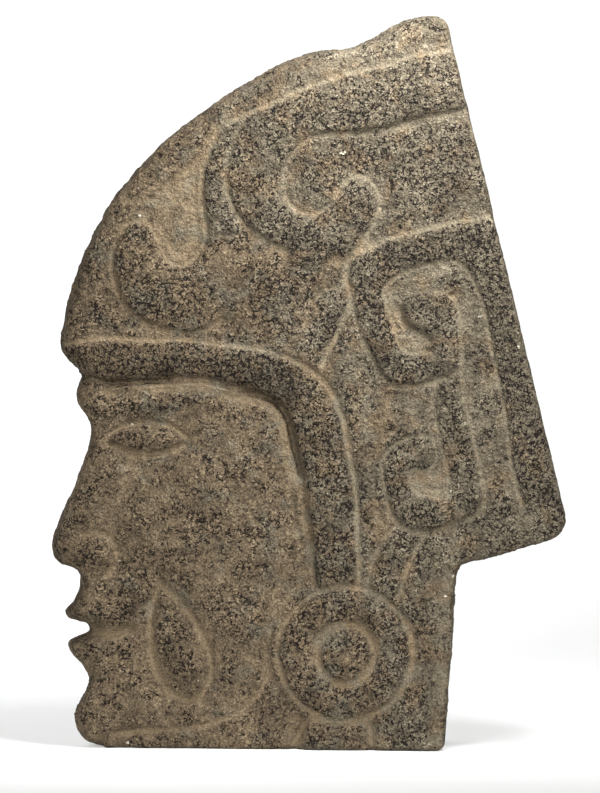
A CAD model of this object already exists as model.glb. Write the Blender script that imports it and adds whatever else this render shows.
import math
import bmesh
import bpy
import numpy as np
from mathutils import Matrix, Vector, noise
from mathutils.geometry import interpolate_bezier


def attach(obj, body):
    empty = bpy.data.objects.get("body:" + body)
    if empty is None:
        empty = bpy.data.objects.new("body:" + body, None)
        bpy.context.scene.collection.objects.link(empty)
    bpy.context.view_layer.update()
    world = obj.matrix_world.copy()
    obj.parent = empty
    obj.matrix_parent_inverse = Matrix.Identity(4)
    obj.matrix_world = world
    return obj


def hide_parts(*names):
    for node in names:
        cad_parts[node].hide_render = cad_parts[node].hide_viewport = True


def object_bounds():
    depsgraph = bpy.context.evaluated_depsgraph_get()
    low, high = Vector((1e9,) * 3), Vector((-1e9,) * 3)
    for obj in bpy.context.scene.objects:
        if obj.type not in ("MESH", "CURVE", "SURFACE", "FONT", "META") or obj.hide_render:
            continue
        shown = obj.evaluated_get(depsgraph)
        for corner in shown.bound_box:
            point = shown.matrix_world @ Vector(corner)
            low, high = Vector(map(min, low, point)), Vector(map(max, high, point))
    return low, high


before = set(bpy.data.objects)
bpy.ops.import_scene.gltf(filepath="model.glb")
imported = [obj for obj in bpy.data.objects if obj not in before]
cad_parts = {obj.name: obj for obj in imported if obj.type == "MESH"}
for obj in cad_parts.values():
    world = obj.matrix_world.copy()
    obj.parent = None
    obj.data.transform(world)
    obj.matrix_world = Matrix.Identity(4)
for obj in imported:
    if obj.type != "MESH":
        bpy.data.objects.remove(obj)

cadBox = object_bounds()
print("frame loaded")

# The hacha. Lengths are millimetres on the flat drawing of one side: x towards the back, z up.
stone = {
    "height": 280.0,
    "backThickness": 64.0,
    "frontThickness": 27.0,
    "notchHeight": 70.5,
    "notchDepth": 43.0,
    "topCorner": 52.8,
    "backLean": 13.55,         # degrees, as the next two
    "overhangRise": 16.4,
    "notchLean": 3.6,
    "footRound": 4.0,
    "notchRound": 3.0,
    "backCornerRound": 8.0,
    "topRound": 6.0,
    "blankThickness": 30.0,    # of the plain slab, before it is drawn out to the wedge
    "meshStep": 0.72,
    "triangles": 194000,       # kept when the carved mesh is thinned
    "mapStep": 0.5,            # of the height map that the carving is worked out on
    "mapX": (-104, 106),       # from and to
    "mapZ": (-6, 287),
}

# How each stretch of the rim is finished: rounded in from the outline, rounded deep, and chipped
rims = {
    "back": (2.6, 2.6, 0.25),
    "base": (2.2, 2.0, 0.15),
    "overhang": (2.8, 2.6, 1.1),
    "crest": (9.0, 7.5, 0.9),
    "face": (6.5, 7.5, 0.5),
}

wear = {
    "shoulderWidth": 5.4,      # worn shoulders beside every cut
    "shoulderDepth": 1.0,
    "blur": 0.45,              # softening of the whole carving
    "wander": 0.5,             # how far the hand strayed from the drawing
    "wanderSize": 17,
    "swell": 0.8,              # slow unevenness of the sides
    "swellSize": 34,
    "chip": 2.2,               # chips along the rim
    "chipReach": 7,
    "chipFade": 1.5,           # more of this keeps the chips closer to the rim
    "chipKept": 0.30,          # more of this leaves more of the rim whole
    "chipNoise": ((13, 2, 1.0), (5, 3, 0.35), (2.4, 4, 0.35)),   # size, own seed and strength, as below
    "peck": 0.22,              # hammered surface
    "peckNoise": ((6.5, 20, 1.0), (2.6, 21, 0.8)),
    "pit": 0.9,                # deepest pores
    "pitSize": 3.4,
    "pitKept": 0.52,           # more of this makes pores rarer
    "footBand": 1.2,           # the height from the ground within which the foot is kept even
    "footShare": 0.25,
    "seed": 11.0,
}

# Dirt counts from 0 to 1, and below 0 where the stone is rubbed dark
soil = {
    "plain": 0.22,             # on a plain surface
    "fullDepth": 5,            # millimetres below what is round it
    "near": 0.6,               # how far round a place its depth is taken, and what it is compared with
    "around": 5.5,
    "inLines": 0.62,
    "linePower": 1.6,
    "groundBlur": 1.0,
    "proudBlur": 1.2,
    "least": -0.4,
    "pushed": 0.8,             # less for each millimetre that the surface stands out
    "rough": 0.05,
    "plainRim": (0.4, 1.6),    # from the outline: where the plain narrow face ends, and how softly
}

face = {"line": -85.0, "brow": 136.0}
face["nose"] = face["brow"] / 2
face["mouth"] = face["nose"] * 2 / 3
face["underLip"] = face["nose"] / 3

spool = (14.7, 37.1)           # its middle

# Every carved line: its points, its width and depth, and how much dirt lies in it, where a minus is clean
# dark stone
cuts = {
    "crestBack": (((59.3, 267), (42.9, 265.5), (27.2, 261.4), (12.9, 257.1), (-2.1, 251.6), (-16.5, 244.8),
                   (-29.1, 239.2), (-34.1, 236.4)), 3.6, 1.0, 1.0),
    "crestFront": (((-34.1, 236.4), (-41.7, 229.1), (-49, 223), (-57, 216.3), (-63.2, 209.6), (-67.4, 203.1),
                    (-71.6, 195.9)), 3.6, 1.2, 0.6),
    "lobe": (((-71.6, 195.9), (-74.3, 187.7), (-73.7, 179.3), (-70.4, 171.7), (-64.3, 165), (-55.5, 160.6),
              (-45.9, 159), (-39, 160.6), (-32.5, 164.8)), 3.4, 2.2, 0.3),
    "tongueFront": (((-71.6, 195.9), (-67.8, 200.8), (-63.2, 201.9), (-59.3, 200), (-56.6, 194.6),
                     (-54.4, 189.7), (-51.1, 186)), 3.0, 1.5, 0.8),
    "tongueBack": (((-51.1, 186), (-46, 185.4), (-40.4, 190), (-38.8, 198), (-40, 212), (-38.5, 223),
                    (-34.1, 236.4)), 3.2, 2.0, 0.8),
    "plume": (((-23.7, 241.3), (-30, 227.9), (-31.2, 217.2), (-28.5, 208), (-24, 200.9), (-17, 194.7),
               (-8, 190)), 4.4, 1.4, 0.5),
    "plumeFoot": (((-38.8, 198), (-34.1, 196.9), (-29.5, 196.7), (-25.5, 196.6), (-22, 198.8)),
                  3.0, 1.2, 0.1),
    "secondBand": (((67, 245.2), (44, 240.6), (28.3, 236.6), (15.5, 235), (1, 233.5), (-4.8, 229.5),
                    (-8.8, 219.5), (-6.5, 209), (1.5, 205.3), (9.5, 208.8)), 4.2, 2.1, 0.3),
    "bandHook": (((9.5, 208.8), (12.6, 213.8), (15.7, 217.8), (19.5, 219.3), (23.7, 217.8), (27, 213),
                  (27.6, 207.3), (25.3, 201.1), (21.4, 194.6), (17.2, 189.3)), 4.0, 1.6, 0.8),
    "frameTop": (((74.6, 204.6), (63.2, 203.1), (51.7, 200.8), (42.1, 198.3), (34.4, 196), (26.8, 193.3),
                  (17.2, 189.3)), 3.8, 1.2, 1.0),
    "frameFront": (((17.2, 189.3), (15.5, 185.8), (15.3, 180.9), (16.5, 175.5), (16.3, 169.8), (14.2, 164),
                    (10.9, 157.9), (8, 153.7), (5.7, 147.9)), 4.0, 1.9, 0.9),
    "frameInside": (((46.7, 152.9), (41, 152.3), (36, 154.1), (33.7, 159), (31.8, 165.2), (30.2, 171.3),
                     (29.7, 176.3), (32.2, 180.1), (37.1, 182.8), (44, 184.9), (51.7, 186.4), (57.4, 186.6),
                     (60.9, 183.9), (63.9, 178.2), (66.2, 171.7), (70, 153.7), (74.3, 132.6), (77.9, 110.4),
                     (81.5, 94)), 3.0, 1.8, 0.8),
    "knobUnder": (((46.7, 157.5), (42.5, 160.4), (38.3, 162.1), (36, 164.8), (35.4, 169.4)), 3.6, 2.8, 0.0),
    "barBack": (((35.4, 169.4), (36.7, 173.2), (41, 174.9), (47.1, 175.5), (52.1, 174.5), (55.5, 172.1),
                 (57.6, 166.3), (58.9, 154.4), (58.6, 144.1), (59.1, 136.5), (63.3, 120.8), (66.2, 107.4),
                 (67.4, 100.9)), 3.0, 1.7, 0.7),
    "lowerScrollUnder": (((67.4, 100.9), (67.4, 95.9), (64.7, 91.3), (59.7, 88.2), (53.6, 85.9), (47.1, 84),
                          (41, 83.8)), 3.2, 2.0, 0.4),
    "lowerScrollOver": (((41, 83.8), (36, 85.9), (32.2, 90.9), (29.9, 97.8), (28.7, 105.5), (29.1, 111.6),
                         (31.8, 115.8), (36.7, 118.9), (42.5, 120.2), (47.8, 120)), 3.0, 1.8, 0.6),
    "lowerScrollInside": (((47.8, 120), (49, 114.6), (47.8, 109.3), (44.4, 106.6), (40.6, 107.4), (40, 103.2),
                           (41.7, 98.6), (47.1, 97), (52.1, 97.8), (53.6, 102.8), (52.8, 109.3),
                           (51.7, 114.3)), 2.8, 1.5, 0.8),
    "barFront": (((51.7, 114.3), (50.5, 119.6), (49.2, 125.7), (48.2, 132.2), (48, 138),
                  (49, 141.4)), 2.8, 1.5, 0.5),
    "upperScrollUnder": (((58.6, 145.6), (54, 143), (47.8, 141.4), (41, 139.5), (34.8, 139.1), (29.9, 141.1),
                          (26.4, 145.3), (24.5, 150.6), (19.9, 161.3), (16.5, 172.8)), 3.2, 2.0, 0.3),
    "tie": (((15.1, 182.4), (12.6, 177.6), (6.5, 175.3), (2.7, 170.3), (-1.9, 161.5), (-6.5, 152.9)),
            3.0, 1.6, 0.4),
    "knotFront": (((35.2, 86.7), (32.2, 84.4), (28.7, 78.7), (25.6, 72.2), (23, 63.7)), 3.0, 1.7, 0.5),
    "knotBack": (((45.5, 84), (42.5, 78.3), (39.4, 71.4), (36.7, 65.3), (34.1, 59.1)), 3.2, 1.7, 0.6),
    "headbandOver": (((-96.1, 155), (-80, 156.6), (-65.5, 156.8), (-50.9, 156.4), (-34.4, 155.2),
                      (-21.1, 153.7), (-11.9, 151.4), (-3.4, 148.3), (3.1, 144.1), (8.8, 138), (12.6, 131.5),
                      (15.1, 121.1), (17, 110.4), (18.6, 98.2), (19.3, 85.5), (20.1, 62.2)), 3.8, 1.3, 1.0),
    "headbandUnder": (((-90, 146), (-84.6, 142.4), (-78.1, 140.9), (-66.2, 140.5), (-50.9, 141.6),
                       (-34.1, 140.5), (-19.5, 136.8), (-11.1, 132.4), (-6.7, 125.4), (-5.2, 115),
                       (-2.3, 103.2), (0.2, 87.5), (3.1, 63)), 4.8, 3.4, 0.1),
    "undercut": (((-22.6, 137.2), (-16.5, 135.1), (-11.1, 132.4), (-7.7, 128.4), (-6.1, 122.7), (-4.8, 114.3),
                  (-3.1, 105.1)), 3.4, 6.4, -0.9),
    "frontUndercut": (((-88, 143.2), (-80, 140.9), (-70, 140.2), (-60, 140.8), (-52, 141.6)), 3.4, 5.4, -0.9),
    "browDirt": (((-66.2, 138), (-50.9, 138.8), (-34.1, 137.6), (-21, 133.8), (-13.4, 129.9), (-9.2, 124.2),
                  (-7.7, 114.2), (-5, 102.8)), 6.5, 0.2, 0.8),
    "tab": (((-5, -3), (-4, 4), (1, 10.5), (6, 11.6), (14, 11), (21, 11.6), (24.2, 9), (24.6, 2), (24.6, -3)),
            3.6, 2.6, 0.6),
    "eyeSlit": (((-75, 116.5), (-69, 113.8), (-61, 112.8), (-53, 113.8), (-46.5, 117)), 3.4, 2.6, 0.1),
    "lidCrease": (((-76, 120), (-69, 124.2), (-60, 125.6), (-51, 123.6), (-45, 119)), 3.2, 1.6, 0.4),
    "lips": (((-92, face["mouth"]), (-82, face["mouth"] - 0.6), (-74, face["mouth"] - 1.2),
              (-67, face["mouth"] + 0.6)), 4.2, 3.0, 0.1),
    "jaw": (((-74, 5), (-62, 6.2), (-46, 7.4), (-31, 11.5), (-20, 19.5), (-15, 28)), 3.2, 1.2, 0.6),
    "drop": (((-56, 63), (-49.5, 58), (-42, 48), (-37.4, 38), (-37.4, 27), (-43.5, 19.5), (-51, 21),
              (-57, 29), (-60, 40), (-59.6, 52), (-56, 63)), 3.8, 1.9, 0.5),
}

# Round cuts: centre, radius, from and to in degrees, width, depth and dirt
rings = {
    "spoolRim": (spool, 25.8, 0, 360, 3.8, 1.9, 0.8),
    "spoolRing": (spool, 11.3, 0, 360, 4.6, 2.2, 0.9),
    "nostril": ((-80.5, face["nose"] + 7), 8.6, 118, -62, 3.0, 1.3, 0.4),
}

# Sunk grounds: what bounds each, how wide its edge slopes, how deep it is and how dirty. A minus runs a line
# backwards, and a minus in the last column is stone rubbed dark.
grounds = {
    "lowGround": (("crestBack", "crestFront", "lobe", ((-27.2, 169.4), (-26.4, 179.3), (-30.2, 188.5)),
                   "plumeFoot", ((0.4, 185.8), (9.6, 183.9)), "tie",
                   ((-11.9, 151.4), (-34.4, 155.2), (-65.5, 156.8), (-96.1, 155), (-101.4, 187),
                    (-82.3, 225.3), (-47.8, 255.9), (-1.9, 275), (36.4, 286.5), (63.2, 278.8))),
                  3.0, 1.2, -0.15),
    "crestBand": (("crestBack", "crestFront",
                   ((-84, 196), (-66, 224), (-40, 250), (-12, 266), (20, 278), (40, 289), (64, 286))),
                  3.0, 0.0, 0.16),
    "headband": (("headbandOver", "-headbandUnder"), 3.0, 0.0, -0.08),
    "headbandFront": ((((-96, 157), (-50, 158), (-20, 154), (-2, 148), (8, 139), (-4, 130), (-20, 136),
                        (-50, 141), (-90, 145)),), 4.0, 0.0, -0.26),
    "frame": (("frameTop", ((17, 178), (24, 152), (30.5, 141), (36, 154.1), (33.7, 159), (30.2, 171.3),
                            (29.7, 176.3), (37.1, 182.8), (57.4, 186.6), (66.2, 171.7), (70, 153.7),
                            (77.9, 110.4), (81.5, 94), (99, 90), (74, 208))), 3.0, 0.0, -0.26),
    "spoolDimple": ((((12, 36), (14, 32.6), (18, 32), (21, 35), (19.8, 39.4), (15.4, 40.4)),),
                    1.6, 0.2, 0.30),
    "spoolFrontDent": ((((-9.5, 37.5), (-5, 34.2), (-1.2, 35.4), (-1.5, 38.4), (-5, 39.6)),), 1.2, 0.8, 0.34),
    "spoolBackDent": ((((29.4, 36.6), (31.4, 35), (34.6, 35.8), (34, 38), (31.2, 38.6)),), 1.0, 0.6, 0.30),
    "foot": ((((42, -4), (64, -4), (64, 76), (45, 76), (42, 60), (44, 37)),), 6.0, 0.0, 0.25),
    "tongue": (("crestFront", "tongueFront", "tongueBack"), 3.0, 2.1, 0.28),
    "underBand": (("secondBand", "bandHook", "-frameTop"), 3.0, 1.6, -0.14),
    "channel": (("frameInside", "-barBack", "-knobUnder"), 2.4, 1.9, -0.02),
    "hook": (("knobUnder", ((32.2, 180.1), (29.7, 176.3), (30.2, 171.3), (31.8, 165.2), (33.7, 159),
                            (36, 154.1), (41, 152.3), (46.7, 152.9))), 2.4, 2.2, 0.02),
    "scroll": (("lowerScrollInside",), 2.2, 2.3, 0.16),
    "panel": (("upperScrollUnder", ((14.2, 164), (10.5, 150), (13.5, 140), (16.8, 130), (19.2, 118),
                                    (21, 104), (21.6, 84), (21.5, 64)),
               "-knotFront", "lowerScrollOver", "barFront"), 5.0, 1.3, 0.05),
    "besideTie": ((((2.5, 170.5), (-2, 177), (3, 185), (10, 189.5), (16, 190.5), (14.6, 184), (11.5, 178),
                    (6, 175.5)),), 3.0, 1.1, 0.12),
    "besidePlume": ((((-38, 195), (-27, 195), (-19, 192), (-10, 187), (-9, 177), (-15, 169), (-24, 165),
                      (-33, 168), (-38, 178)),), 6.0, 1.0, 0.06),
    "face": (("headbandUnder", "spoolFront", ((-2, -12), (-115, -12), (-115, 144))), 4.8, 3.0, 0.04),
}

# Rounded forms: centre, half length and half width, tilt in degrees, and height
swellings = (
    ((-42, 82), (40, 40), 0, 3.2),
    ((-60, 118), (17, 10), 0, 2.2),
    ((-58, 133), (30, 9), 2, 1.3),
    ((-84, 92), (30, 13), 68, 2.6),
    ((-80.5, face["nose"] + 7), (9, 8), 0, 2.4),
    ((-79, face["mouth"] + 6), (15, 7), -10, 2.2),
    ((-78, face["mouth"] - 6.5), (14, 7), 8, 2.2),
    ((-77, face["underLip"] - 10), (16, 12), 0, 2.0),
    ((-48.5, 40), (24, 12), 108, 2.8),
    (spool, (7, 7), 0, 1.0),
    (spool, (4.4, 4.4), 0, -1.9),
    ((54.5, 173.8), (1.7, 1.7), 0, -2.6),
    ((-59.7, 211.1), (1.6, 1.6), 0, -2.2),
    ((-56, 175), (20, 17), 0, 0.9),
    ((17.5, 208), (10, 12), 0, 0.8),
)


def smoothPath(points, steps=9):
    knots = [Vector((x, z, 0)) for x, z in points]
    path = []
    for before, start, end, after in zip([knots[0], *knots], knots, knots[1:], [*knots[2:], knots[-1]]):
        reach = (end - start).length / 3
        leave = start + (end - before).normalized() * reach
        arrive = end - (after - start).normalized() * reach
        path += interpolate_bezier(start, leave, arrive, end, steps)[:-1]
    return np.array([point[:2] for point in path] + [points[-1]])


def arcPath(centre, radius, start, end):
    turn = np.radians(np.linspace(start, end, max(6, int(abs(end - start) / 8))))
    return np.array(centre) + radius * np.stack((np.cos(turn), np.sin(turn)), 1)


def cornerPath(before, corner, after, radius):
    inArm, outArm = (before - corner).normalized(), (after - corner).normalized()
    half = inArm.angle(outArm) / 2
    centre = corner + (inArm + outArm).normalized() * radius / math.sin(half)
    start = (corner + inArm * radius / math.tan(half) - centre).normalized()
    end = (corner + outArm * radius / math.tan(half) - centre).normalized()
    return np.array([centre + start.slerp(end, i / 6) * radius for i in range(7)])


def stoneOutline():
    top = Vector((stone["topCorner"], stone["height"]))
    rise = stone["notchDepth"] * math.tan(math.radians(stone["overhangRise"]))
    low = Vector((0, stone["notchHeight"] + rise))
    low.x = top.x + (top.y - low.y) * math.tan(math.radians(stone["backLean"]))
    notch = Vector((low.x - stone["notchDepth"], stone["notchHeight"]))
    foot = Vector((notch.x - notch.y * math.tan(math.radians(stone["notchLean"])), 0))
    crest = smoothPath((
        (46, 280), (38, 278.2), (31, 275), (24, 270.8), (15, 267.8), (4, 266.6), (-13, 260), (-36.5, 245.5),
        (-59.5, 227), (-76.5, 206), (-88, 181.5), (-93.6, 160), (-93.4, 152.5), (-89, 146.5), (-86, 143)))
    ahead, brow, nose, mouth, lip = face["line"], face["brow"], face["nose"], face["mouth"], face["underLip"]
    profile = smoothPath([(ahead - out, level) for out, level in (
        (1, brow + 7), (3, brow - 2), (-2.5, brow - 14), (3.5, brow - 34), (12.6, nose + 11),
        (10.5, nose + 3), (2.2, nose - 1), (3.6, mouth + 12), (7.4, mouth + 5.5), (-1.5, mouth),
        (6.6, mouth - 6), (-1.6, lip + 4), (3.8, lip - 9), (1.2, 3.5), (-8, 0))])
    stretches = (
        (cornerPath(Vector(profile[-1]), foot, notch, stone["footRound"]), "base"),
        (cornerPath(foot, notch, low, stone["notchRound"]), "overhang"),
        (cornerPath(notch, low, top, stone["backCornerRound"]), "back"),
        (cornerPath(low, top, Vector(crest[0]), stone["topRound"]), "back"),
        (crest[1:], "crest"),
        (profile[1:-1], "face"),
        (profile[-1:], "base"),
    )
    points = np.vstack([path for path, _ in stretches])
    finish = np.array([rims[name] for path, name in stretches for _ in path])
    middle = (points[:, 0].min() + points[:, 0].max()) / 2
    return np.vstack((points, points[:1])), np.vstack((finish, finish[:1])), middle


outline, rimFinish, middle = stoneOutline()
paths = {name: smoothPath(cut[0]) for name, cut in cuts.items()}
paths.update({name: arcPath(*ring[:4]) for name, ring in rings.items()})
paths["spoolFront"] = arcPath(*rings["spoolRim"][:2], 115, 245)      # the side towards the face

mapX = np.arange(*stone["mapX"], stone["mapStep"])
mapZ = np.arange(*stone["mapZ"], stone["mapStep"])


# The part of the map that lies within reach of some points
def window(points, reach):
    (lowX, lowZ), (highX, highZ) = points.min(0) - reach, points.max(0) + reach
    columns = slice(*np.searchsorted(mapX, (lowX, highX)))
    rows = slice(*np.searchsorted(mapZ, (lowZ, highZ)))
    return rows, columns


# Over the map, how far the path is, up to reach, and the place along the path that is nearest
def nearness(path, reach):
    gap = np.full((len(mapZ), len(mapX)), float(reach))
    place = np.zeros_like(gap)
    for i, (start, end) in enumerate(zip(path[:-1], path[1:])):
        rows, columns = window(np.array((start, end)), reach)
        run = end - start
        armX, armZ = mapX[None, columns] - start[0], mapZ[rows, None] - start[1]
        share = np.clip((armX * run[0] + armZ * run[1]) / max(run @ run, 1e-9), 0, 1)
        here = np.hypot(armX - share * run[0], armZ - share * run[1])
        nearer = here < gap[rows, columns]
        gap[rows, columns][nearer] = here[nearer]
        place[rows, columns][nearer] = (i + share)[nearer]
    return gap, place


def within(path):
    inside = np.zeros((len(mapZ), len(mapX)), bool)
    rows, columns = window(path, 1)
    x, z = mapX[None, columns], mapZ[rows, None]
    for (startX, startZ), (endX, endZ) in zip(path, np.roll(path, -1, 0)):
        if startZ != endZ:
            crosses = (startZ > z) != (endZ > z)
            inside[rows, columns] ^= crosses & (x < startX + (z - startZ) / (endZ - startZ) * (endX - startX))
    return inside


def ramp(share):
    share = np.clip(share, 0, 1)
    return share * share * (3 - 2 * share)


def blurred(values, radius):
    reach = int(3 * radius / stone["mapStep"]) + 1
    offsets = np.arange(-reach, reach + 1) * stone["mapStep"]
    kernel = np.exp(-0.5 * (offsets / radius) ** 2)
    kernel /= kernel.sum()
    for axis in (0, 1):
        padded = np.pad(values, [(reach, reach) if axis == a else (0, 0) for a in (0, 1)], mode="edge")
        values = np.apply_along_axis(np.convolve, axis, padded, kernel, mode="valid")
    return values


# The points along a named path, backwards if its name starts with a minus
def boundary(part):
    if not isinstance(part, str):
        return np.array(part)
    return paths[part[1:]][::-1] if part[0] == "-" else paths[part]


# How deep the carving goes below the plain wedge, how dirty it is and what stands proud, over the map
def carvingMap():
    cut, shoulder, lined, ground, soiled = np.zeros((5, len(mapZ), len(mapX)))
    sizes = {name: cut[1:] for name, cut in cuts.items()}
    sizes.update({name: ring[4:] for name, ring in rings.items()})
    for name, (width, depth, dirt) in sizes.items():
        gap, _ = nearness(paths[name], 3 * wear["shoulderWidth"])
        bed = (1 + np.cos(math.pi * np.clip(gap / (width / 2), 0, 1))) / 2
        cut = np.maximum(cut, depth * bed)
        lined = np.maximum(lined, dirt * bed)
        soiled += min(dirt, 0) * bed
        worn = wear["shoulderDepth"] * depth / 2 * np.exp(-((gap / wear["shoulderWidth"]) ** 2))
        shoulder = np.maximum(shoulder, worn)
    for bounds, edge, depth, dirt in grounds.values():
        path = np.vstack([boundary(part) for part in bounds])
        gap, _ = nearness(np.vstack((path, path[:1])), edge)
        sunk = np.where(within(path), ramp(gap / edge), 0)
        ground = np.maximum(ground, depth * sunk)
        soiled += dirt * sunk
    swell = np.zeros_like(cut)
    for centre, (length, breadth), tilt, height in swellings:
        turn = math.radians(tilt)
        armX, armZ = mapX[None, :] - centre[0], mapZ[:, None] - centre[1]
        along = (armX * math.cos(turn) + armZ * math.sin(turn)) / length
        across = (armZ * math.cos(turn) - armX * math.sin(turn)) / breadth
        swell += height * np.clip(1 - along**2 - across**2, 0, 1) ** 2
    carved = blurred(cut + shoulder + ground - swell, wear["blur"])
    low = blurred(carved, soil["near"]) - blurred(carved, soil["around"])
    hollow = soil["plain"] + low / soil["fullDepth"] + soil["inLines"] * lined ** soil["linePower"]
    hollow = np.clip(hollow + blurred(soiled, soil["groundBlur"]), soil["least"], 1)
    return carved, hollow, blurred(np.clip(1 - ground, 0, 1), soil["proudBlur"])


# Half the thickness of the plain wedge, with its edges rounded, over the map
def wedgeMap():
    lean = math.radians(stone["backLean"])
    top, high = stone["topCorner"], stone["height"]
    depthIn = (top - mapX[None, :]) * math.cos(lean) + (high - mapZ[:, None]) * math.sin(lean)
    nose = outline[outline[:, 0].argmin()]
    full = (top - nose[0]) * math.cos(lean) + (high - nose[1]) * math.sin(lean)
    thinning = stone["frontThickness"] - stone["backThickness"]
    thickness = stone["backThickness"] + thinning * depthIn / full
    gap, place = nearness(outline, max(reach for reach, _, _ in rims.values()))
    steps = np.arange(len(outline))
    reach, depth = (np.interp(place, steps, rimFinish[:, i]) for i in (0, 1))
    short = np.clip(1 - np.where(within(outline[:-1]), gap, 0) / reach, 0, 1)
    return thickness / 2 - depth * (1 - np.sqrt(1 - short**2))


carving, hollowMap, proudMap = carvingMap()
sideMap = wedgeMap() - carving
print("carving worked out")


def readMap(values, points):
    column = np.clip((points[:, 0] - mapX[0]) / stone["mapStep"], 0, len(mapX) - 1.001)
    row = np.clip((points[:, 1] - mapZ[0]) / stone["mapStep"], 0, len(mapZ) - 1.001)
    left, low = column.astype(int), row.astype(int)
    across, up = column - left, row - low
    lower = values[low, left] * (1 - across) + values[low, left + 1] * across
    upper = values[low + 1, left] * (1 - across) + values[low + 1, left + 1] * across
    return lower * (1 - up) + upper * up


# Noise of about one lump to each size, at every point
def lumps(points, size, ownSeed):
    seed = wear["seed"] + ownSeed
    shift = Vector((seed, 2 * seed, -seed))
    return np.array([noise.noise(Vector(point) / size + shift) for point in points])


# The blank: the outline as one flat face, drawn out to a slab and divided evenly
def stoneBlank():
    blank = bmesh.new()
    half = stone["blankThickness"] / 2
    rim = [blank.verts.new((x, -half, z)) for x, z in outline[:-1]]
    side = blank.faces.new(rim)
    drawnOut = bmesh.ops.extrude_face_region(blank, geom=[side])["geom"]
    farSide = [item for item in drawnOut if isinstance(item, bmesh.types.BMVert)]
    bmesh.ops.translate(blank, verts=farSide, vec=(0, 2 * half, 0))
    bmesh.ops.recalc_face_normals(blank, faces=blank.faces)
    mesh = bpy.data.meshes.new("blank")
    blank.to_mesh(mesh)
    blank.free()
    holder = bpy.data.objects.new("blank", mesh)
    bpy.context.scene.collection.objects.link(holder)
    remesh = holder.modifiers.new("even", "REMESH")
    remesh.mode = "VOXEL"
    remesh.voxel_size = stone["meshStep"]
    return holder


def appliedMesh(holder):
    mesh = bpy.data.meshes.new_from_object(holder.evaluated_get(bpy.context.evaluated_depsgraph_get()))
    before = holder.data
    bpy.data.objects.remove(holder)
    bpy.data.meshes.remove(before)
    return mesh


def vertexArray(mesh, source, key):
    values = np.empty(3 * len(source))
    source.foreach_get(key, values)
    return values.reshape(-1, 3)


# For chips, at every point: how far the outline is, how chipped it is there and which way is in
def rimOf(points):
    gap = np.full(len(points), 99.0)
    chip = np.zeros(len(points))
    inward = np.zeros((len(points), 2))
    for i, (start, end) in enumerate(zip(outline[:-1], outline[1:])):
        run = end - start
        arm = points - start
        share = np.clip(arm @ run / max(run @ run, 1e-9), 0, 1)
        here = np.linalg.norm(arm - share[:, None] * run, axis=1)
        nearer = here < gap
        gap[nearer] = here[nearer]
        chip[nearer] = (rimFinish[i, 2] * (1 - share) + rimFinish[i + 1, 2] * share)[nearer]
        inward[nearer] = np.array((-run[1], run[0])) / np.linalg.norm(run)
    return gap, chip, inward


def carveStone(mesh):
    at = vertexArray(mesh, mesh.vertices, "co")
    plan = at[:, [0, 2]]
    bends = [lumps(at, wear["wanderSize"], ownSeed) for ownSeed in (0, 5)]
    stray = np.stack(bends, 1) * wear["wander"] * 2
    flat = plan + stray * (np.abs(at[:, 1:2]) > 1)
    half = readMap(sideMap, flat) + lumps(at, wear["swellSize"], 9) * wear["swell"]
    hollow = readMap(hollowMap, flat)
    at[:, 1] *= half / (stone["blankThickness"] / 2)

    gap, chip, inward = rimOf(plan)
    broken = sum(strength * np.abs(lumps(at, size, own)) for size, own, strength in wear["chipNoise"])
    bite = chip * (np.clip(broken, 0, 1) - wear["chipKept"]) * wear["chip"]
    bite *= np.clip(1 - gap / wear["chipReach"], 0, 1) ** wear["chipFade"]
    at[:, [0, 2]] += inward * bite[:, None]
    mesh.vertices.foreach_set("co", at.ravel())
    mesh.update()

    out = vertexArray(mesh, mesh.vertices, "normal")
    rough = sum(strength * lumps(at, size, own) for size, own, strength in wear["peckNoise"])
    pores = np.clip(lumps(at, wear["pitSize"], 30) - wear["pitKept"], 0, 1) * 2
    push = wear["peck"] * (rough - 0.5) - wear["pit"] * pores
    push *= np.where(plan[:, 1] < wear["footBand"], wear["footShare"], 1)
    at += out * push[:, None]
    at[:, 0] -= middle
    at /= 1000
    mesh.vertices.foreach_set("co", at.ravel())
    # the narrow faces all round are plain, neither hollow nor proud
    plainTo, fade = soil["plainRim"]
    facing = ramp((gap - plainTo) / fade)
    hollow = soil["plain"] + (hollow - soil["plain"]) * facing
    hollow += soil["rough"] * rough - soil["pushed"] * push
    for name, values in (("hollow", hollow), ("proud", readMap(proudMap, flat) * facing)):
        layer = mesh.attributes.new(name, "FLOAT", "POINT")
        layer.data.foreach_set("value", np.clip(values, soil["least"], 1).astype(np.float32))
    mesh.update()


# Fewer triangles where the stone is even, and all of them where the carving is sharp
def thinned(mesh):
    holder = bpy.data.objects.new("thick", mesh)
    bpy.context.scene.collection.objects.link(holder)
    thin = holder.modifiers.new("thin", "DECIMATE")
    thin.ratio = stone["triangles"] / (2 * len(mesh.polygons))
    return appliedMesh(holder)


# Nothing stands out of the block that the stone was cut from, and it rests flat on its foot
def trim(mesh):
    at = vertexArray(mesh, mesh.vertices, "co")
    mesh.vertices.foreach_set("co", np.clip(at, *np.array(cadBox)).ravel())
    mesh.update()


hachaMesh = appliedMesh(stoneBlank())
carveStone(hachaMesh)
trim(hachaMesh)
hachaMesh = thinned(hachaMesh)
trim(hachaMesh)
hachaMesh.shade_smooth()
hacha = bpy.data.objects.new("carvedHacha", hachaMesh)
bpy.context.scene.collection.objects.link(hacha)
print("stone carved:", len(hachaMesh.vertices), "points,", len(hachaMesh.polygons), "faces")


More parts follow.
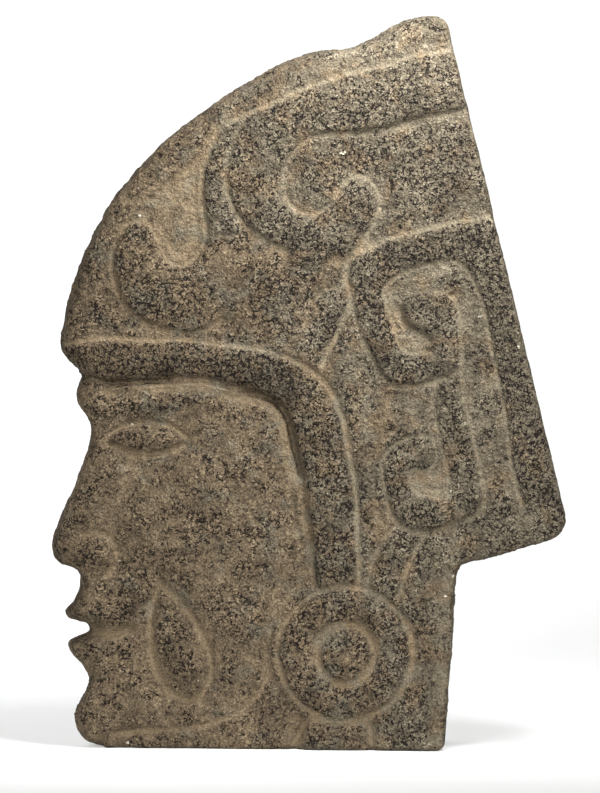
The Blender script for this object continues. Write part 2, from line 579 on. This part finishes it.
# A socket of a shader node, for sums on sockets
class Wire:
    def __init__(self, socket):
        self.socket = socket

    def node(self, kind, settings=(), inputs=(), output=0):
        tree = self.socket.id_data
        made = tree.nodes.new(kind)
        for name, value in dict(settings).items():
            setattr(made, name, value)
        for name, value in dict(inputs).items():
            if isinstance(value, Wire):
                tree.links.new(value.socket, made.inputs[name])
            else:
                made.inputs[name].default_value = value
        return Wire(made.outputs[output])

    def math(self, operation, other=0.0):
        return self.node("ShaderNodeMath", {"operation": operation}, {0: self, 1: other})

    def __add__(self, other):
        return self.math("ADD", other)

    def __sub__(self, other):
        return self.math("SUBTRACT", other)

    def __rsub__(self, other):
        return (self - other) * -1.0

    def __mul__(self, other):
        return self.math("MULTIPLY", other)

    __radd__, __rmul__ = __add__, __mul__

    def vector(self, operation, other, output=0):
        return self.node("ShaderNodeVectorMath", {"operation": operation}, {0: self, 1: other}, output)

    def scaled(self, share):
        return self.node("ShaderNodeVectorMath", {"operation": "SCALE"}, {0: self, "Scale": share})

    def above(self, low, high):
        return self.node("ShaderNodeMapRange", {"interpolation_type": "SMOOTHSTEP"},
                         {"Value": self, "From Min": low, "From Max": high})

    def mixed(self, first, second):
        return self.node("ShaderNodeMix", {"data_type": "RGBA"}, {0: self, 6: first, 7: second}, 2)

    def toned(self, stops):
        ramp = self.node("ShaderNodeValToRGB", inputs={0: self})
        elements = ramp.socket.node.color_ramp.elements
        for element, (place, colour) in zip(elements, (stops[0], stops[-1])):
            element.position, element.color = place, colour
        for place, colour in stops[1:-1]:
            elements.new(place).color = colour
        return ramp


stoneLook = {
    "tones": (                 # from the darkest pits to the palest grains
        (0.16, (0.0085, 0.006, 0.005, 1)),
        (0.34, (0.031, 0.0235, 0.0168, 1)),
        (0.50, (0.077, 0.062, 0.043, 1)),
        (0.64, (0.134, 0.108, 0.075, 1)),
        (0.84, (0.275, 0.232, 0.170, 1)),
    ),
    "middle": 0.515,           # the tone between the cracks
    "warm": (1.0, 0.92, 0.82, 1),
    "cool": (0.92, 0.95, 0.94, 1),
    "redder": (-1.8, 0.0, -0.5),          # the way in which the stone turns from cool to warm, and how fast
    "warmFrom": (-0.21, 0.01),
    "proudCool": 0.05,
    "dirt": (0.166, 0.134, 0.092, 1),
    "dirtFrom": (0.36, 0.88),             # how hollow, from none to full
    "dirtPatches": 1.15,
    "dirtCover": 0.70,
    "dirtGrain": 1.2,
    "dirtHidesCracks": 0.88,
    "crystal": (0.42, 0.38, 0.30, 1),
    "crystalsPerMetre": 75.0,
    "crystalEdge": (0.020, 0.055),
    "crystalWobble": 0.25,
    "crystalPlaces": (0.0, 0.06),
    "clouds": (                # what the grain is made of: size in metres, detail and strength
        (0.00070, 1.0, 0.58),
        (0.0018, 2.0, 0.30),
        (0.0045, 2.0, 0.26),
        (0.0130, 2.0, 0.30),
    ),
    "cloudShift": 1.7,
    "reliefSize": 0.0018,      # larger clouds count for more in the relief, and smaller ones for less
    "grain": 0.0020,           # metres, from one dark crack between the grains to the next
    "veinNoise": (1.5, 3.3, 0.5, 0.4),    # detail, shift, roughness and warp
    "veinEdge": (0.015, 0.040),
    "seamEdge": (0.05, 0.12),
    "seamBendsPerMetre": 1100.0,
    "breakEdge": (-0.02, 0.03),
    "speckFrom": (0.13, 0.19),
    "smallCrowds": 0.9,        # what gathers the cracks, and how strongly
    "patchCrowds": 0.7,
    "largeCrowds": 0.5,
    "proudCrowds": 0.06,
    "hollowClears": 0.5,
    "crowdFrom": (-0.13, 0.07),
    "crackDepth": 0.45,
    "crackRelief": 0.6,
    "grainPale": 0.07,
    "hollowPale": 0.15,
    "crown": (0.250, 0.272),   # metres up, between which the stone turns paler
    "crownPale": 0.05,
    "grit": 1.2,
    "roughness": 0.9,
    "specular": 0.15,
    "bump": 0.0010,
    "noise": {                 # size in metres, detail, and a shift that keeps one apart from another
        "patches": (0.0055, 3.0, 9.1),
        "veinBreaks": (0.0014, 1.0, 7.9),
        "seamBreaks": (0.0017, 1.0, 2.9),
        "specks": (0.0008, 1.0, 7.7),
        "smallCrowds": (0.0036, 2.0, 4.9),
        "largeCrowds": (0.016, 1.0, 5.7),
        "dirtGrain": (0.0009, 1.0, 5.1),
        "tint": (0.0085, 2.0, 6.3),
        "grit": (0.00065, 1.0, 8.3),
        "crystalEdge": (0.0012, 1.0, 7.7),
        "crystalPlaces": (0.03, 1.0, 2.6),
    },
}


def stoneMaterial():
    look = stoneLook
    material = bpy.data.materials.new("speckledStone")
    material.use_nodes = True
    shader = material.node_tree.nodes["Principled BSDF"]
    start = Wire(shader.outputs[0])
    place = start.node("ShaderNodeTexCoord", output=3)
    hollow = start.node("ShaderNodeAttribute", {"attribute_name": "hollow"}, output=2)
    proud = start.node("ShaderNodeAttribute", {"attribute_name": "proud"}, output=2)

    # noise about zero
    def cloud(size, detail, shift, rough=0.55, warp=0.2):
        return start.node("ShaderNodeTexNoise", inputs={
            "Vector": place.vector("ADD", (shift, shift, shift)), "Scale": 1 / size, "Detail": detail,
            "Roughness": rough, "Distortion": warp}) - 0.5

    def named(name):
        return cloud(*look["noise"][name])

    swing, relief = 0.0, 0.0
    for i, (size, detail, strength) in enumerate(look["clouds"]):
        layer = cloud(size, detail, look["cloudShift"] * i)
        swing = strength * layer + swing
        relief = (size / look["reliefSize"]) ** 0.5 * layer + relief

    # smooth dirt lies in the cuts and in patches
    patches = named("patches")
    dirt = (hollow + look["dirtPatches"] * patches).above(*look["dirtFrom"])

    # dark cracks between the grains, each broken up, that crowd on what stands proud
    veins = 1.0 - cloud(look["grain"], *look["veinNoise"]).math("ABSOLUTE").above(*look["veinEdge"])
    veins = veins * named("veinBreaks").above(*look["breakEdge"])
    bend = {"Vector": place, "Scale": look["seamBendsPerMetre"], "Detail": 2.0}
    bent = start.node("ShaderNodeTexNoise", inputs=bend, output=1).scaled(look["grain"])
    seams = start.node("ShaderNodeTexVoronoi", {"feature": "DISTANCE_TO_EDGE"},
                       {"Vector": place.vector("ADD", bent), "Scale": 1 / look["grain"], "Randomness": 1.0})
    seams = (1.0 - seams.above(*look["seamEdge"])) * named("seamBreaks").above(*look["breakEdge"])
    specks = named("specks").above(*look["speckFrom"])
    deeper = hollow - soil["plain"]
    crowd = look["smallCrowds"] * named("smallCrowds") + look["patchCrowds"] * patches
    crowd = crowd + look["largeCrowds"] * named("largeCrowds")
    crowd = crowd + look["proudCrowds"] * proud - look["hollowClears"] * deeper
    there = crowd.above(*look["crowdFrom"]) * (1.0 - look["dirtHidesCracks"] * dirt)
    crack = veins.math("MAXIMUM", seams).math("MAXIMUM", specks) * there

    crown = start.node("ShaderNodeSeparateXYZ", inputs={0: place}, output=2).above(*look["crown"])
    tone = look["middle"] + swing + look["grainPale"] * there + look["hollowPale"] * deeper
    tone = tone + look["crownPale"] * crown - look["crackDepth"] * crack
    colour = tone.toned(look["tones"])
    cover = dirt * (look["dirtCover"] + look["dirtGrain"] * named("dirtGrain"))
    colour = cover.mixed(colour, look["dirt"])

    # redder towards the front and foot, greyer towards the back and top
    tint = named("tint") + place.vector("DOT_PRODUCT", look["redder"], 1) - look["proudCool"] * proud
    tint = tint.above(*look["warmFrom"]).mixed(look["cool"], look["warm"])
    colour = start.node("ShaderNodeMix", {"data_type": "RGBA", "blend_type": "MULTIPLY"},
                        {0: 1.0, 6: colour, 7: tint}, 2)
    colour = colour.scaled(1.0 + look["grit"] * named("grit"))

    # a few pale crystals
    cells = start.node("ShaderNodeTexVoronoi", inputs={
        "Vector": place, "Scale": look["crystalsPerMetre"], "Randomness": 1.0})
    crystal = 1.0 - (cells + look["crystalWobble"] * named("crystalEdge")).above(*look["crystalEdge"])
    crystal = crystal * named("crystalPlaces").above(*look["crystalPlaces"])
    colour = crystal.mixed(colour, look["crystal"])

    bump = start.node("ShaderNodeBump", inputs={
        "Strength": 1.0, "Distance": look["bump"], "Height": relief - look["crackRelief"] * crack})
    links = material.node_tree.links
    links.new(colour.socket, shader.inputs["Base Color"])
    links.new(bump.socket, shader.inputs["Normal"])
    shader.inputs["Roughness"].default_value = look["roughness"]
    shader.inputs["Specular IOR Level"].default_value = look["specular"]
    return material


hachaMesh.materials.append(stoneMaterial())
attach(hacha, "root")
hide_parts("stone_hacha")
print("stone finished")

studio = {
    "paper": (0.68, 0.685, 0.68, 1),
    "paperGlow": 0.44,
    "paperWidth": 3.0,
    "paperFront": -0.5,
    "paperBack": 1.5,          # where the floor turns up into the backdrop
    "paperHeight": 1.8,
    "paperCurve": 0.5,
    "paperRoughness": 0.9,
    "air": 0.10,
    "topPower": 0.76,
    "topPlace": (0.08, -0.15, 0.42),
    "topAim": (0.03, 0.0, 0.252),
    "topSize": 0.14,
    "topSpread": 90,           # degrees, as for the others
    "sidePower": 0.53,
    "sidePlace": (0.45, -0.60, 0.42),
    "sideAim": (0.02, 0.0, 0.12),
    "sideSize": 0.14,
    "sideSpread": 60,
    "keyPower": 49.5,
    "keyPlace": (-0.72, -2.25, 0.90),
    "keyAim": (0.0, 0.0, 0.13),
    "keySize": 0.5,
    "keySpread": 180,
    "backPower": 10.0,
    "backPlace": (-0.45, 0.70, 1.10),
    "backAim": (-0.10, 1.40, 0.10),
    "backSize": 0.6,
    "backSpread": 180,
    "cameraDistance": 3.0,
    "cameraRise": 2.5,         # degrees
    "frameHeight": 304.0,      # millimetres of the object's plane from top to bottom of the picture
    "aim": (-0.0030, 0.0, 0.1344),
}


def softLight(name):
    lamp = bpy.data.lights.new(name, "AREA")
    lamp.energy = studio[name + "Power"]
    lamp.size = studio[name + "Size"]
    lamp.spread = math.radians(studio[name + "Spread"])
    holder = bpy.data.objects.new(name, lamp)
    holder.location = studio[name + "Place"]
    way = Vector(studio[name + "Aim"]) - holder.location
    holder.rotation_euler = way.to_track_quat("-Z", "Y").to_euler()
    bpy.context.scene.collection.objects.link(holder)


# One sheet of paper: a floor that turns up into a backdrop
def makePaper():
    sweep = bmesh.new()
    back, rise = studio["paperBack"], studio["paperCurve"]
    turn = [math.radians(6 * i) for i in range(16)]
    profile = [(studio["paperFront"], 0.0)]
    profile += [(back - rise + rise * math.sin(t), rise - rise * math.cos(t)) for t in turn]
    profile.append((back, studio["paperHeight"]))
    line = [sweep.verts.new((-studio["paperWidth"] / 2, y, z)) for y, z in profile]
    edges = [sweep.edges.new(pair) for pair in zip(line, line[1:])]
    drawn = bmesh.ops.extrude_edge_only(sweep, edges=edges)["geom"]
    moved = [item for item in drawn if isinstance(item, bmesh.types.BMVert)]
    bmesh.ops.translate(sweep, verts=moved, vec=(studio["paperWidth"], 0, 0))
    bmesh.ops.recalc_face_normals(sweep, faces=sweep.faces)
    if min(sweep.faces, key=lambda side: side.calc_center_median().y).normal.z < 0:
        bmesh.ops.reverse_faces(sweep, faces=sweep.faces)
    mesh = bpy.data.meshes.new("paper")
    sweep.to_mesh(mesh)
    sweep.free()
    mesh.shade_smooth()
    paper = bpy.data.objects.new("paper", mesh)
    bpy.context.scene.collection.objects.link(paper)
    paint = bpy.data.materials.new("palePaper")
    paint.use_nodes = True
    shader = paint.node_tree.nodes["Principled BSDF"]
    shader.inputs["Base Color"].default_value = studio["paper"]
    shader.inputs["Roughness"].default_value = studio["paperRoughness"]
    shader.inputs["Emission Color"].default_value = studio["paper"]
    shader.inputs["Emission Strength"].default_value = studio["paperGlow"]
    # seen from behind or from below, the paper is clear
    front = Wire(shader.outputs[0])
    behind = front.node("ShaderNodeNewGeometry", output="Backfacing")
    clear = front.node("ShaderNodeBsdfTransparent")
    sheet = front.node("ShaderNodeMixShader", inputs={0: behind, 1: front, 2: clear})
    surface = paint.node_tree.nodes["Material Output"].inputs["Surface"]
    paint.node_tree.links.new(sheet.socket, surface)
    mesh.materials.append(paint)


def makeStudio():
    scene = bpy.context.scene
    scene.view_settings.view_transform = "Standard"
    makePaper()
    world = bpy.data.worlds.new("studio")
    scene.world = world
    world.use_nodes = True
    world.node_tree.nodes["Background"].inputs["Color"].default_value = (1, 1, 1, 1)
    world.node_tree.nodes["Background"].inputs["Strength"].default_value = studio["air"]
    aim = Vector(studio["aim"])
    for name in ("top", "side", "key", "back"):
        softLight(name)
    lens = bpy.data.cameras.new("camera")
    lens.sensor_width = 36
    lens.lens = 36 * studio["cameraDistance"] * 1000 / studio["frameHeight"]
    camera = bpy.data.objects.new("camera", lens)
    rise = math.radians(studio["cameraRise"])
    camera.location = aim + Vector((0, -math.cos(rise), math.sin(rise))) * studio["cameraDistance"]
    camera.rotation_euler = (aim - camera.location).to_track_quat("-Z", "Y").to_euler()
    scene.collection.objects.link(camera)
    scene.camera = camera


makeStudio()
print("studio set")
